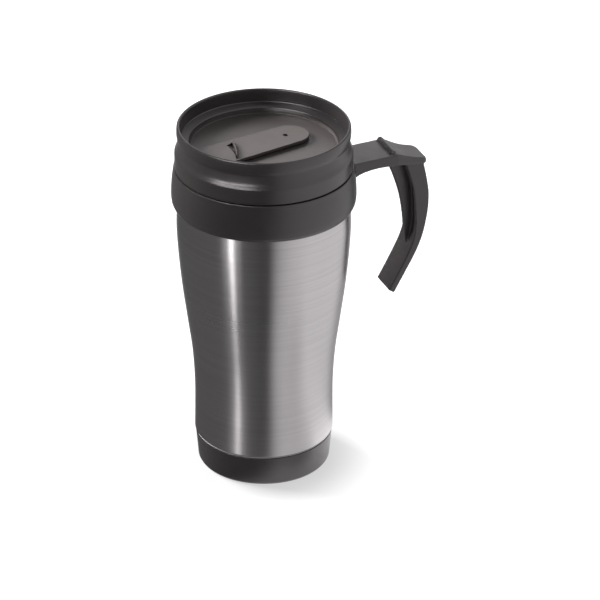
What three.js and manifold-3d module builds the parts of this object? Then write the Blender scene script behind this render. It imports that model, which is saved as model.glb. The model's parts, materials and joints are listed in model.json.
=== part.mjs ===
// Insulated travel mug: double wall, push-on lid with a slide closure, open handle.
//
// Millimetres, +Z up. The origin is on the mug's axis at the face it stands on,
// and the handle points along +X. Profiles are lists of [radius, height].

import * as THREE from "three";
import { mergeVertices } from "three/addons/utils/BufferGeometryUtils.js";
import Module from "manifold-3d";

const wasm = await Module();
wasm.setup();

// ---------------------------------------------------------------- driving dimensions

const FACETS = 40; // sides of a round body
const HOLE_FACETS = 16; // sides of a small hole, screw or bar
const GAP = 0.3; // free space between pieces that touch
const OVERLAP = 0.5; // how far a cut or a joined feature reaches past a face

const WALL_STEEL = 0.5;
const WALL_LINER = 1.5;
const WALL_COLLAR = 3.0;

const SHELL_FOOT_Z = 16.3; // lower edge of the steel sleeve
const SHELL_TOP_Z = 137.0; // upper edge, hidden by the collar
const COLLAR_FOOT_Z = 133.6;
const SEAM_Z = 151.8; // top of the collar, where the lid sits
const DECK_Z = 162.2; // flat floor of the lid's recess
const RIM_Z = 172.5; // crest of the lid's rim, top of the mug

const SLEEVE_RADIUS = 42.5; // widest point of the collar
const NECK_RADIUS = 37.1; // bore of the mouth
const RECESS_RADIUS = 33.4; // round recess in the lid

const LID_TURN = THREE.MathUtils.degToRad(12); // the lid sits turned this far from the handle
const SLIDER_TRAVEL = 9.5;

// ---------------------------------------------------------------- helpers

// A closed three.js geometry as a manifold solid.
function toSolid(geometry) {
  geometry.deleteAttribute("normal");
  geometry.deleteAttribute("uv");
  const merged = mergeVertices(geometry);
  const corners = Array.from(merged.index.array);
  const triVerts = [];
  for (let i = 0; i < corners.length; i += 3) {
    const [a, b, c] = corners.slice(i, i + 3);
    if (a !== b && b !== c && c !== a) triVerts.push(a, b, c);
  }
  const mesh = new wasm.Mesh({
    numProp: 3,
    vertProperties: new Float32Array(merged.attributes.position.array),
    triVerts: new Uint32Array(triVerts),
  });
  return new wasm.Manifold(mesh);
}

// A manifold solid as a three.js geometry.
function toGeometry(solid) {
  const mesh = solid.getMesh();
  const geometry = new THREE.BufferGeometry();
  geometry.setAttribute("position", new THREE.BufferAttribute(mesh.vertProperties, 3));
  geometry.setIndex(new THREE.BufferAttribute(mesh.triVerts, 1));
  geometry.computeVertexNormals();
  return geometry;
}

// A profile turned about the Z axis. It runs up the outside and down the inside.
function revolve(profile) {
  const points = profile.map(([radius, height]) => new THREE.Vector2(radius, height));
  return new THREE.LatheGeometry(points, FACETS).rotateX(Math.PI / 2);
}

// A closed ring section: the profile is joined back to its first point.
function revolveRing(profile) {
  return revolve([...profile, profile[0]]);
}

// An outline in the X-Z plane, extruded along Y from yLow to yHigh.
function slab(outline, yLow, yHigh) {
  const shape = new THREE.Shape(outline.map(([x, z]) => new THREE.Vector2(x, z)));
  const geometry = new THREE.ExtrudeGeometry(shape, { depth: yHigh - yLow, bevelEnabled: false });
  return geometry.rotateX(Math.PI / 2).translate(0, yHigh, 0);
}

// An outline in the X-Y plane, extruded upwards from zLow to zHigh.
function plate(outline, zLow, zHigh) {
  const shape = new THREE.Shape(outline.map(([x, y]) => new THREE.Vector2(x, y)));
  const geometry = new THREE.ExtrudeGeometry(shape, { depth: zHigh - zLow, bevelEnabled: false });
  return geometry.translate(0, 0, zLow);
}

// A smooth curve through the given points, sampled in equal steps.
function smooth(points, steps) {
  const curve = new THREE.SplineCurve(points.map(([x, y]) => new THREE.Vector2(x, y)));
  return curve.getSpacedPoints(steps).map((p) => [p.x, p.y]);
}

// The same curve moved sideways by a distance, to the left of its direction.
function offset(points, distance) {
  return points.map(([x, y], i) => {
    const [x0, y0] = points[Math.max(i - 1, 0)];
    const [x1, y1] = points[Math.min(i + 1, points.length - 1)];
    const length = Math.hypot(x1 - x0, y1 - y0);
    return [x - (distance * (y1 - y0)) / length, y + (distance * (x1 - x0)) / length];
  });
}

// Points on a circular arc, angles in degrees.
function arc(centreX, centreY, radius, from, to, steps) {
  return Array.from({ length: steps + 1 }, (_, i) => {
    const angle = THREE.MathUtils.degToRad(from + ((to - from) * i) / steps);
    return [centreX + radius * Math.cos(angle), centreY + radius * Math.sin(angle)];
  });
}

// A rectangle with round ends, long side along X, centred at [centreX, 0].
function slotOutline(centreX, length, width) {
  const radius = width / 2;
  const reach = length / 2 - radius;
  return [
    ...arc(centreX + reach, 0, radius, -90, 90, HOLE_FACETS / 2),
    ...arc(centreX - reach, 0, radius, 90, 270, HOLE_FACETS / 2),
  ];
}

// A rod along Y, centred on the origin.
function rod(radius, length) {
  return new THREE.CylinderGeometry(radius, radius, length, HOLE_FACETS);
}

function circle(centreX, radius) {
  return arc(centreX, 0, radius, 0, 360 - 360 / HOLE_FACETS, HOLE_FACETS - 1);
}

function material(color, roughness, metalness = 0) {
  return new THREE.MeshStandardMaterial({ color, roughness, metalness });
}

const steel = material(0xb4b2b2, 0.32, 1);
const blackPlastic = material(0x37342f, 0.5);
const lidPlastic = material(0x3b3833, 0.48);
const sliderPlastic = material(0x4a4743, 0.5);
const linerPlastic = material(0x24221f, 0.45);
const rubber = material(0x1f1e1d, 0.8);
const silicone = material(0x6f6f6c, 0.6);
const zincScrew = material(0xa8a8a4, 0.35, 1);

function piece(name, geometry, look) {
  const mesh = new THREE.Mesh(geometry, look);
  mesh.name = name;
  return mesh;
}

// ---------------------------------------------------------------- double-walled body

// Outside of the steel sleeve: narrow foot, waist, swell under the collar.
const sleeveOutline = [
  [32.6, SHELL_FOOT_Z],
  [32.45, 28],
  [32.5, 42],
  [33.5, 58],
  [35.7, 75],
  [37.9, 92],
  [39.42, 108],
  [40.19, 122],
  [39.9, 131.5],
  [39.45, SHELL_TOP_Z],
];

function outerShell() {
  const outside = smooth(sleeveOutline, 11);
  const inside = outside.map(([radius, height]) => [radius - WALL_STEEL, height]).reverse();
  return revolveRing([...outside, ...inside]);
}

// The liner is a plastic cup. Its wall follows the sleeve across an air gap, and its
// neck steps out to fill the collar.
const LINER_FLOOR_Z = 7.5;
const LINER_FOOT = { inner: 17, outer: 19, z: 4.5 };
const LINER_SHOULDER_Z = 139.5;
const linerOutline = [
  [27.0, LINER_FLOOR_Z],
  [28.6, 9.5],
  [29.2, 42],
  [31.3, 64],
  [34.2, 88],
  [36.6, 120],
  [37.0, LINER_SHOULDER_Z - 1],
];

function innerLiner() {
  const neckOutside = SLEEVE_RADIUS - WALL_COLLAR - 2 * GAP;
  const rimZ = SEAM_Z - GAP;
  const inside = linerOutline
    .map(([radius, height]) => [radius - WALL_LINER, Math.max(height, LINER_FLOOR_Z + WALL_LINER)])
    .reverse();
  return revolve([
    [0, LINER_FLOOR_Z],
    [LINER_FOOT.inner, LINER_FLOOR_Z],
    [LINER_FOOT.inner, LINER_FOOT.z],
    [LINER_FOOT.outer, LINER_FOOT.z],
    [LINER_FOOT.outer, LINER_FLOOR_Z],
    ...linerOutline,
    [neckOutside, LINER_SHOULDER_Z],
    [neckOutside, rimZ],
    [NECK_RADIUS, rimZ],
    [NECK_RADIUS, LINER_SHOULDER_Z + WALL_LINER],
    ...inside,
    [0, LINER_FLOOR_Z + WALL_LINER],
  ]);
}

// ---------------------------------------------------------------- base

const FOOT_Z = 0.5; // the cap hangs this far above the floor, on the pad
const PAD_RADIUS = 27.3;
const PAD_THICKNESS = 1.9;
const CAP_FLOOR_TOP_Z = 4.2;
const CAP_SHOULDER_Z = SHELL_FOOT_Z - 1.2; // carries the lower seal, on which the sleeve stands
const SPIGOT_TOP_Z = 24;
const SPIGOT_RADIUS = 31.3;
const SPIGOT_BORE = 29.7;

function baseCap() {
  const recessZ = PAD_THICKNESS + GAP;
  const recessRadius = PAD_RADIUS + GAP;
  return revolve([
    [0, recessZ],
    [recessRadius, recessZ],
    [recessRadius, FOOT_Z],
    [30.6, FOOT_Z],
    [31.1, 1.3],
    [31.5, 6.6],
    [31.9, 11],
    [32.25, CAP_SHOULDER_Z],
    [SPIGOT_RADIUS, CAP_SHOULDER_Z],
    [SPIGOT_RADIUS, SPIGOT_TOP_Z],
    [SPIGOT_BORE, SPIGOT_TOP_Z],
    [SPIGOT_BORE, CAP_FLOOR_TOP_Z],
    [0, CAP_FLOOR_TOP_Z],
  ]);
}

function basePad() {
  const bevel = 0.4;
  return revolve([
    [0, 0],
    [PAD_RADIUS - bevel, 0],
    [PAD_RADIUS, bevel],
    [PAD_RADIUS, PAD_THICKNESS],
    [0, PAD_THICKNESS],
  ]);
}

// The sleeve is held between two seals: rings of rectangular section, thickness in Z.
const BOTTOM_SEAL = { inner: 31.7, outer: 32.2, z: CAP_SHOULDER_Z + GAP, thickness: 0.6 };
const TOP_SEAL = { inner: 38.6, outer: 39.8, z: SHELL_TOP_Z + GAP, thickness: 1.5 };

function sealRing({ inner, outer, z, thickness }) {
  return revolveRing([
    [inner, z],
    [outer, z],
    [outer, z + thickness],
    [inner, z + thickness],
  ]);
}

// ---------------------------------------------------------------- collar

const COLLAR_BORE = SLEEVE_RADIUS - WALL_COLLAR - GAP;
const COLLAR_SKIRT_BORE = 40.15;
const COLLAR_STEP_Z = TOP_SEAL.z + TOP_SEAL.thickness + GAP; // presses on the upper seal

// Barrel-shaped outside of the collar, from its curled foot to its lip.
const collarOutline = [
  [40.6, COLLAR_FOOT_Z],
  [41.6, COLLAR_FOOT_Z + 0.7],
  [42.3, 136],
  [SLEEVE_RADIUS, 138.5],
  [42.2, 145],
  [41.7, 149],
  [41.3, SEAM_Z - 1],
  [40.7, SEAM_Z],
];

function collarSolid() {
  return toSolid(
    revolveRing([
      ...collarOutline,
      [COLLAR_BORE, SEAM_Z],
      [COLLAR_BORE, COLLAR_STEP_Z],
      [COLLAR_SKIRT_BORE, COLLAR_STEP_Z],
      [COLLAR_SKIRT_BORE, COLLAR_FOOT_Z],
    ]),
  );
}

// Everything that the collar fills, grown by the gap: the handle's root is cut to it.
function collarEnvelope() {
  const grown = collarOutline.map(([radius, height]) => [radius + GAP, height]);
  return toSolid(revolve([[0, COLLAR_FOOT_Z], ...grown, [0, SEAM_Z]]));
}

// ---------------------------------------------------------------- handle and its screws

const ARM_HALF_WIDTH = 9.6;
const GRIP_HALF_WIDTH = 7.2;
const GRIP_WALL = 2.0; // side walls of the grip
const GRIP_BAND = 2.3; // outer band of the grip
const GRIP_RIB = 2.4; // thickness of the rib in the grip's middle plane
const ARM_ROOT_X = 38;

// Side view of the arm and the thumb rest at its end, [x, z].
const armTop = [
  [ARM_ROOT_X, 149.2],
  [58.8, 150.2],
];
const thumbRest = [
  [62.2, 151.4],
  [64.3, 149.9],
  [68, 147.9],
  [71.7, 146.5],
  [76.3, 145.4],
  [78, 144.5],
];
const armUnderside = [
  [78.4, 142.6],
  [62.4, 142.2],
  [60.8, 144.2],
  [58.3, 145.0],
  [51.1, 144.8],
  [45.4, 143.8],
  [42, 142.4],
  [ARM_ROOT_X, 139.9],
];
const THUMB_BAR = { x: 60.9, z: 150.5, radius: 1.5, halfWidth: 9.2 };

// Side view of the grip: outer edge, edge of the side walls, edge of the middle rib.
const gripOuterEdge = [
  [76.4, 144],
  [78.4, 135],
  [79.7, 126.5],
  [79.5, 119],
  [78.4, 111.5],
  [76.6, 104],
  [73.4, 96.2],
  [69.4, 88.7],
  [62.9, 77],
];
const gripWallEdge = [
  [60.2, 78.8],
  [62.5, 82.9],
  [67.4, 92.1],
  [70.9, 99.5],
  [72.6, 105.2],
  [73.2, 111.5],
  [72.9, 119],
  [72.1, 127],
  [70.9, 133],
  [67.5, 144],
];
// A pocket lies each side of the middle rib. Its band edge runs out to the foot.
const POCKET = { foot: [70.2, 98], runOut: 6, openX: 60, topZ: 142.2 };
const RIB_FOOT_Z = 95;
const gripRibEdge = [
  [71.8, 96],
  [70.8, 99.5],
  [70.2, 105.7],
  [69.5, 113.2],
  [68.7, 119.1],
  [67.2, 126.3],
  [64.4, 135],
  [62.4, 140],
  [61.4, 144],
];

// Plan view of the arm and thumb rest, with round outer corners, [x, y].
function armPlan() {
  const tipX = 78.3;
  const tipHalfWidth = 8.2;
  const corner = 3.0;
  const near = [
    [ARM_ROOT_X, -ARM_HALF_WIDTH],
    [63, -ARM_HALF_WIDTH],
    ...arc(tipX - corner, -tipHalfWidth + corner, corner, -80, 0, 5),
  ];
  const far = near.map(([x, y]) => [x, -y]).reverse();
  return [...near, ...far];
}

function gripSolid() {
  const outer = smooth(gripOuterEdge, 18);
  const wallEdge = smooth(gripWallEdge, 16);
  const ribEdge = smooth(gripRibEdge, 12);
  const blank = toSolid(slab([...outer, ...wallEdge], -GRIP_HALF_WIDTH, GRIP_HALF_WIDTH));
  const footZ = POCKET.foot[1];
  const bandInside = offset(outer, -GRIP_BAND).filter(([, z]) => z > footZ + POCKET.runOut);
  const pocketOutline = [...bandInside, POCKET.foot, [POCKET.openX, footZ], [POCKET.openX, POCKET.topZ]];
  const ribOutline = [...outer.filter(([, z]) => z > RIB_FOOT_Z).reverse(), ...ribEdge.reverse()];
  let grip = blank;
  for (const side of [-1, 1]) {
    const near = side * (GRIP_RIB / 2);
    const far = side * (GRIP_HALF_WIDTH - GRIP_WALL);
    const pocket = toSolid(slab(pocketOutline, Math.min(near, far), Math.max(near, far)));
    grip = grip.subtract(pocket);
  }
  return grip.add(toSolid(slab(ribOutline, -GRIP_RIB / 2, GRIP_RIB / 2)));
}

// The screws pass from inside the collar into the arm, one each side of the middle.
const SCREW = { y: 4.8, z: 147, headRadius: 2.3, headLength: 1.3, radius: 1.1, tipX: 48.5 };
const SCREW_HEAD_X = COLLAR_BORE + GAP; // inner face of the head

function screwSolid(clearance) {
  const shankStart = SCREW_HEAD_X + SCREW.headLength - OVERLAP;
  const reach = SCREW.tipX + clearance - shankStart;
  const headLength = SCREW.headLength + 2 * clearance;
  const headMiddle = SCREW_HEAD_X + SCREW.headLength / 2;
  const head = rod(SCREW.headRadius + clearance, headLength).rotateZ(Math.PI / 2).translate(headMiddle, 0, 0);
  const shank = rod(SCREW.radius + clearance, reach).rotateZ(Math.PI / 2);
  return toSolid(head).add(toSolid(shank.translate(shankStart + reach / 2, 0, 0)));
}

const screwPlaces = [-SCREW.y, SCREW.y];

function cutScrewHoles(solid) {
  let result = solid;
  for (const y of screwPlaces) {
    result = result.subtract(screwSolid(GAP).translate([0, y, SCREW.z]));
  }
  return result;
}

function handle() {
  const side = toSolid(slab([...armUnderside, ...armTop, ...thumbRest], -ARM_HALF_WIDTH, ARM_HALF_WIDTH));
  const plan = toSolid(plate(armPlan(), COLLAR_FOOT_Z, RIM_Z));
  const bar = toSolid(rod(THUMB_BAR.radius, 2 * THUMB_BAR.halfWidth).translate(THUMB_BAR.x, 0, THUMB_BAR.z));
  const whole = side.intersect(plan).add(bar).add(gripSolid());
  return toGeometry(cutScrewHoles(whole.subtract(collarEnvelope())));
}

function collarRing() {
  return toGeometry(cutScrewHoles(collarSolid()));
}

// ---------------------------------------------------------------- lid

const PLUG_RADIUS = 35.6;
const PLUG_BORE = 32.8;
const PLUG_FOOT_Z = 141.2;
const PLUG_CHAMFER = { width: 0.6, height: 0.8 };
const LID_FOOT_Z = SEAM_Z + GAP;
const DECK_THICKNESS = 2;
const CHANNEL_BORE = 38.3; // inside of the outer band, over the mouth's rim
const CHANNEL_TOP_Z = 163;
const GASKET = { grooveRadius: 34.2, bodyRadius: 35.8, zLow: 144, zHigh: 149 };
const FIN = { rise: 0.7, thickness: 1.6 }; // a soft fin of the gasket

// Outside of the lid from its lower band over the shoulder, groove and rim to the recess.
const lidOutline = [
  [40.5, LID_FOOT_Z],
  [40.8, LID_FOOT_Z + 0.4],
  [40.7, 158],
  [40.45, 161],
  [39.85, 162.7],
  [39.3, 164.3],
  [39.1, 165.8],
  [39.55, 167],
  [39.75, 168.5],
  [39.7, 171.4],
  [39.3, 172.2],
  [38.75, RIM_Z],
  [38.25, 172.2],
  [38, 171.4],
  [37.8, 166.1],
  [33.9, 164.8],
  [RECESS_RADIUS + 0.1, 164.3],
  [RECESS_RADIUS, DECK_Z],
];

const DRINK_HOLE = { x: -27.6, length: 6, width: 12 };
const VENT_RADIUS = 1.2;
const SLIDER_VENT_X = 11.9;
const NECK_SLOT = { xLow: -14, length: 8, width: 4 }; // the slider's neck, at rest

function lidBody() {
  const deckUnderside = DECK_Z - DECK_THICKNESS;
  const turned = revolve([
    [0, deckUnderside],
    [PLUG_BORE, deckUnderside],
    [PLUG_BORE, PLUG_FOOT_Z],
    [PLUG_RADIUS - PLUG_CHAMFER.width, PLUG_FOOT_Z],
    [PLUG_RADIUS, PLUG_FOOT_Z + PLUG_CHAMFER.height],
    [PLUG_RADIUS, GASKET.zLow - GAP],
    [GASKET.grooveRadius, GASKET.zLow - GAP],
    [GASKET.grooveRadius, GASKET.zHigh + GAP],
    [PLUG_RADIUS, GASKET.zHigh + GAP],
    [PLUG_RADIUS, CHANNEL_TOP_Z],
    [CHANNEL_BORE, CHANNEL_TOP_Z],
    [CHANNEL_BORE, LID_FOOT_Z],
    ...lidOutline,
    [0, DECK_Z],
  ]);
  const below = deckUnderside - OVERLAP;
  const above = DECK_Z + OVERLAP;
  const drink = slotOutline(0, DRINK_HOLE.width, DRINK_HOLE.length).map(([x, y]) => [DRINK_HOLE.x - y, x]);
  const slotLength = NECK_SLOT.length + SLIDER_TRAVEL + 2 * GAP;
  const slotCentre = NECK_SLOT.xLow - GAP + slotLength / 2;
  const neckSlot = slotOutline(slotCentre, slotLength, NECK_SLOT.width + 2 * GAP);
  const vent = circle(SLIDER_VENT_X + SLIDER_TRAVEL, VENT_RADIUS);
  let solid = toSolid(turned);
  for (const opening of [drink, neckSlot, vent]) {
    solid = solid.subtract(toSolid(plate(opening, below, above)));
  }
  return toGeometry(solid);
}

// Silicone gasket with two soft fins that press on the mouth.
function lidGasket() {
  const back = GASKET.grooveRadius + GAP;
  const fin = NECK_RADIUS - GAP;
  const { bodyRadius, zLow, zHigh } = GASKET;
  return revolveRing([
    [back, zLow],
    [bodyRadius, zLow],
    [fin, zLow + FIN.rise],
    [bodyRadius, zLow + FIN.thickness],
    [bodyRadius, zHigh - FIN.thickness],
    [fin, zHigh - FIN.thickness + FIN.rise],
    [bodyRadius, zHigh],
    [back, zHigh],
  ]);
}

// ---------------------------------------------------------------- slide closure

const SLIDER_TOP_Z = DECK_Z + 2;
const SLIDER_THICKNESS = 1.5;
const SLIDER_DRINK_HALF_WIDTH = 9.9;
const SLIDER_END_RADIUS = 8.9;
const SLIDER_END_X = 23; // tip of the round end
const SLIDER_DRINK_RADIUS = RECESS_RADIUS - 0.5;
const SEAL_PAD = { xLow: -31.2, xHigh: -23.8, halfWidth: 7.2, thickness: 0.7 };
const CLIP = { halfLength: 7, halfWidth: 5, thickness: 1.6 };
const THUMB_RIDGE = { x: -47.4, y: 14.25, radius: 37, thickness: 1.7, height: 1.5, from: -38.8, to: -12.5 };

function sliderOutline() {
  const endCentre = SLIDER_END_X - SLIDER_END_RADIUS;
  const spread = THREE.MathUtils.radToDeg(Math.asin(SLIDER_DRINK_HALF_WIDTH / SLIDER_DRINK_RADIUS));
  return [
    ...arc(endCentre, 0, SLIDER_END_RADIUS, -90, 90, 12),
    ...arc(0, 0, SLIDER_DRINK_RADIUS, 180 - spread, 180 + spread, 6),
  ];
}

// A raised arc, slanting across the plate, that the thumb pushes against.
function thumbRidge() {
  const { x, y, radius, thickness, height, from, to } = THUMB_RIDGE;
  const outline = [
    ...arc(x, y, radius, from, to, 10),
    ...arc(x, y, radius - thickness, to, from, 10),
  ];
  return toSolid(plate(outline, SLIDER_TOP_Z - OVERLAP, SLIDER_TOP_Z + height));
}

const neckCentreX = NECK_SLOT.xLow + NECK_SLOT.length / 2;

function slider() {
  const underside = SLIDER_TOP_Z - SLIDER_THICKNESS;
  const clipTopZ = DECK_Z - DECK_THICKNESS - GAP;
  const neckFootZ = clipTopZ - CLIP.thickness;
  const neck = slotOutline(neckCentreX, NECK_SLOT.length, NECK_SLOT.width);
  const vent = circle(SLIDER_VENT_X, VENT_RADIUS);
  const { xLow, xHigh, halfWidth } = SEAL_PAD;
  const pocket = [
    [xLow - GAP, -halfWidth - GAP],
    [xHigh + GAP, -halfWidth - GAP],
    [xHigh + GAP, halfWidth + GAP],
    [xLow - GAP, halfWidth + GAP],
  ];
  const pocketTopZ = DECK_Z + 2 * GAP + SEAL_PAD.thickness;
  const solid = toSolid(plate(sliderOutline(), underside, SLIDER_TOP_Z))
    .add(toSolid(plate(neck, neckFootZ, underside + OVERLAP)))
    .add(thumbRidge())
    .subtract(toSolid(plate(pocket, underside - OVERLAP, pocketTopZ)))
    .subtract(toSolid(plate(vent, underside - OVERLAP, SLIDER_TOP_Z + OVERLAP)));
  return toGeometry(solid);
}

function sliderSeal() {
  const { xLow, xHigh, halfWidth, thickness } = SEAL_PAD;
  const outline = [
    [xLow, -halfWidth],
    [xHigh, -halfWidth],
    [xHigh, halfWidth],
    [xLow, halfWidth],
  ];
  return plate(outline, DECK_Z + GAP, DECK_Z + GAP + thickness);
}

// Snap-on plate under the deck that holds the slider's neck.
function sliderClip() {
  const topZ = DECK_Z - DECK_THICKNESS - GAP;
  const outline = slotOutline(neckCentreX, 2 * CLIP.halfLength, 2 * CLIP.halfWidth);
  const eye = slotOutline(neckCentreX, NECK_SLOT.length + 2 * GAP, NECK_SLOT.width + 2 * GAP);
  const solid = toSolid(plate(outline, topZ - CLIP.thickness, topZ));
  const cut = toSolid(plate(eye, topZ - CLIP.thickness - OVERLAP, topZ + OVERLAP));
  return toGeometry(solid.subtract(cut));
}

// ---------------------------------------------------------------- assembly

const mug = new THREE.Group();

const body = new THREE.Group();
body.add(piece("outer_shell", outerShell(), steel));
body.add(piece("inner_liner", innerLiner(), linerPlastic));
body.add(piece("collar_ring", collarRing(), blackPlastic));
body.add(piece("shell_top_seal", sealRing(TOP_SEAL), silicone));
body.add(piece("shell_bottom_seal", sealRing(BOTTOM_SEAL), silicone));
body.add(piece("base_cap", baseCap(), blackPlastic));
body.add(piece("base_pad", basePad(), rubber));
body.add(piece("handle", handle(), blackPlastic));
screwPlaces.forEach((y, i) => {
  const screw = piece(`handle_screw_${i + 1}`, toGeometry(screwSolid(0)), zincScrew);
  screw.position.set(0, y, SCREW.z);
  body.add(screw);
});

const lid = new THREE.Group();
lid.rotation.z = LID_TURN;
lid.add(piece("lid_body", lidBody(), lidPlastic));
lid.add(piece("lid_gasket", lidGasket(), silicone));
lid.add(piece("slider", slider(), sliderPlastic));
lid.add(piece("slider_seal", sliderSeal(), silicone));
lid.add(piece("slider_clip", sliderClip(), sliderPlastic));

mug.add(body, lid);

export default mug;
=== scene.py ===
import json
import math

import bmesh
import bpy
import numpy as np
from mathutils import Matrix, Vector


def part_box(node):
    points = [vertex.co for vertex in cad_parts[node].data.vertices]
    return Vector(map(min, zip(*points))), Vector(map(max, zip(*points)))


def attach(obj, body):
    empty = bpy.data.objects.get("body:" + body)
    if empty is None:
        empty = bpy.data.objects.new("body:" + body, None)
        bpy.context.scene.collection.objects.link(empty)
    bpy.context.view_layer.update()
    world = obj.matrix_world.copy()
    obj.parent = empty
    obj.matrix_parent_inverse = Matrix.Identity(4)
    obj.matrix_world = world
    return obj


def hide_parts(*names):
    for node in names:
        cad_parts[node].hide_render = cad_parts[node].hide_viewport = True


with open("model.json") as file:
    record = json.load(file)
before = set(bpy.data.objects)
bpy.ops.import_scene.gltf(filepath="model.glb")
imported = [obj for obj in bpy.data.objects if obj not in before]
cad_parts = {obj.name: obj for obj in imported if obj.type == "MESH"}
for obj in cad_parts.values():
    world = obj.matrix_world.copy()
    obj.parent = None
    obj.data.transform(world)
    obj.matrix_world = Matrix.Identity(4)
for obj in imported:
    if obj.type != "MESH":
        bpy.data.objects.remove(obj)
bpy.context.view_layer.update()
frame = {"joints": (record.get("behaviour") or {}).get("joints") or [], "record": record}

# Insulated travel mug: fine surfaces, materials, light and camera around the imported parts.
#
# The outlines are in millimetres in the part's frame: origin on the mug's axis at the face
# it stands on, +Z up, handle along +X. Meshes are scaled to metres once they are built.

record = frame["record"]
body_of = {node: body for body, nodes in record["behaviour"]["bodies"].items() for node in nodes}
slot_of = {part["node"]: part["material_slot"] for part in record["subparts"]}

MM = 0.001
SEGMENTS = 288  # sides of a round surface
FILLET_STEPS = 5
ON_AXIS = 1e-6  # a smaller radius counts as a point on the axis
OVERCUT = 1.0  # how far a cutter reaches past the solid that it cuts
OVERLAP = 0.5  # how far solids reach into each other before they are fused
GAP = 0.3  # free space between pieces that touch


def measure(node):
    """The node's lowest and highest corner in millimetres."""
    low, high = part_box(node)
    return low / MM, high / MM


# ---------------------------------------------------------------- driving dimensions

shell_low, shell_high = measure("outer_shell")
collar_low, collar_high = measure("collar_ring")
lid_low, lid_high = measure("lid_body")
slider_low, slider_high = measure("slider")
pad_low, pad_high = measure("base_pad")

COLLAR_RADIUS = collar_high.x
SEAM_Z = collar_high.z
RIM_Z = lid_high.z

slide = next(joint for joint in frame["joints"] if joint["name"] == "slider_slide")
LID_TURN = math.atan2(slide["axis"][1], slide["axis"][0])
SLIDER_TRAVEL = slide["range_m"][1] / MM


# ---------------------------------------------------------------- outlines

def spline(points, steps):
    """A smooth curve through the points, with this many steps between neighbours."""
    p = np.array(points, float)
    p = np.vstack([2 * p[0] - p[1], p, 2 * p[-1] - p[-2]])
    curve = []
    for i in range(1, len(p) - 2):
        before, start, end, after = p[i - 1 : i + 3]
        for t in np.linspace(0, 1, steps, endpoint=False):
            curve.append(
                0.5
                * (
                    2 * start
                    + (end - before) * t
                    + (2 * before - 5 * start + 4 * end - after) * t**2
                    + (3 * start - before - 3 * end + after) * t**3
                )
            )
    curve.append(p[-2])
    return [tuple(point) for point in curve]


def arc(centre, radius, start, end, steps):
    """Points on a circle's arc, angles in degrees."""
    angles = np.radians(np.linspace(start, end, steps + 1))
    return [(centre[0] + radius * math.cos(a), centre[1] + radius * math.sin(a)) for a in angles]


def fillet(before, corner, after, radius):
    """The arc that rounds a corner between its two neighbours."""
    to_before = (before - corner) / np.linalg.norm(before - corner)
    to_after = (after - corner) / np.linalg.norm(after - corner)
    half_angle = math.acos(np.clip(to_before @ to_after, -1, 1)) / 2
    room = 0.49 * min(np.linalg.norm(before - corner), np.linalg.norm(after - corner))
    reach = min(radius / math.tan(half_angle), room)
    radius = reach * math.tan(half_angle)
    middle = (to_before + to_after) / np.linalg.norm(to_before + to_after)
    centre = corner + middle * radius / math.sin(half_angle)
    start = corner + to_before * reach - centre
    end = corner + to_after * reach - centre
    turn = math.pi - 2 * half_angle
    points = []
    for t in np.linspace(0, 1, FILLET_STEPS + 1):
        mixed = start * math.sin((1 - t) * turn) + end * math.sin(t * turn)
        points.append(tuple(centre + mixed / math.sin(turn)))
    return points


def rounded(outline):
    """The outline with a fillet at every point that has a radius as its third number."""
    points = []
    for i, (x, y, *radius) in enumerate(outline):
        if radius:
            before = np.array(outline[i - 1][:2])
            after = np.array(outline[(i + 1) % len(outline)][:2])
            points += fillet(before, np.array((x, y)), after, radius[0])
        else:
            points.append((x, y))
    return points


def slot_outline(centre, length, width, steps=16):
    """A shape with round ends, long side along X."""
    reach = (length - width) / 2
    high_end = arc((centre[0] + reach, centre[1]), width / 2, -90, 90, steps)
    low_end = arc((centre[0] - reach, centre[1]), width / 2, 90, 270, steps)
    return high_end + low_end


def circle(centre, radius, sides=32):
    """A full circle, without its first point again at the end."""
    return arc(centre, radius, 0, 360 - 360 / sides, sides - 1)


def rectangle(x_low, x_high, y_low, y_high, *radius):
    """The corners of a rectangle, each with a fillet's radius if one is given."""
    corners = ((x_low, y_low), (x_high, y_low), (x_high, y_high), (x_low, y_high))
    return [(*corner, *radius) for corner in corners]


# ---------------------------------------------------------------- solids

def lathe(profile):
    """The profile of (radius, z) turned about the Z axis, as a closed mesh.
    A profile that doesn't start on the axis is the section of a ring."""
    mesh = bmesh.new()
    angles = [2 * math.pi * i / SEGMENTS for i in range(SEGMENTS)]
    rings = []
    for radius, height in profile:
        if radius < ON_AXIS:
            rings.append([mesh.verts.new((0, 0, height))])
        else:
            places = [(radius * math.cos(a), radius * math.sin(a), height) for a in angles]
            rings.append([mesh.verts.new(place) for place in places])
    pairs = list(zip(rings, rings[1:]))
    if len(rings[0]) > 1:
        pairs.append((rings[-1], rings[0]))
    for one, two in pairs:
        for i in range(SEGMENTS):
            j = (i + 1) % SEGMENTS
            corners = [one[i % len(one)], one[j % len(one)], two[j % len(two)], two[i % len(two)]]
            mesh.faces.new(list(dict.fromkeys(corners)))
    bmesh.ops.recalc_face_normals(mesh, faces=mesh.faces)
    return mesh


def loft(sections):
    """A closed mesh through sections, each a list of as many 3-D points."""
    mesh = bmesh.new()
    rings = [[mesh.verts.new(point) for point in section] for section in sections]
    for one, two in zip(rings, rings[1:]):
        for i in range(len(one)):
            j = (i + 1) % len(one)
            mesh.faces.new([one[i], one[j], two[j], two[i]])
    mesh.faces.new(rings[0])
    mesh.faces.new(rings[-1])
    bmesh.ops.recalc_face_normals(mesh, faces=mesh.faces)
    return mesh


def block(outline, x_low, x_high):
    """An outline in the Y-Z plane between two X values."""
    return loft([[(x, y, z) for y, z in outline] for x in (x_low, x_high)])


def slab(outline, y_low, y_high):
    """An outline in the X-Z plane between two Y values."""
    return loft([[(x, y, z) for x, z in outline] for y in (y_low, y_high)])


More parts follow.
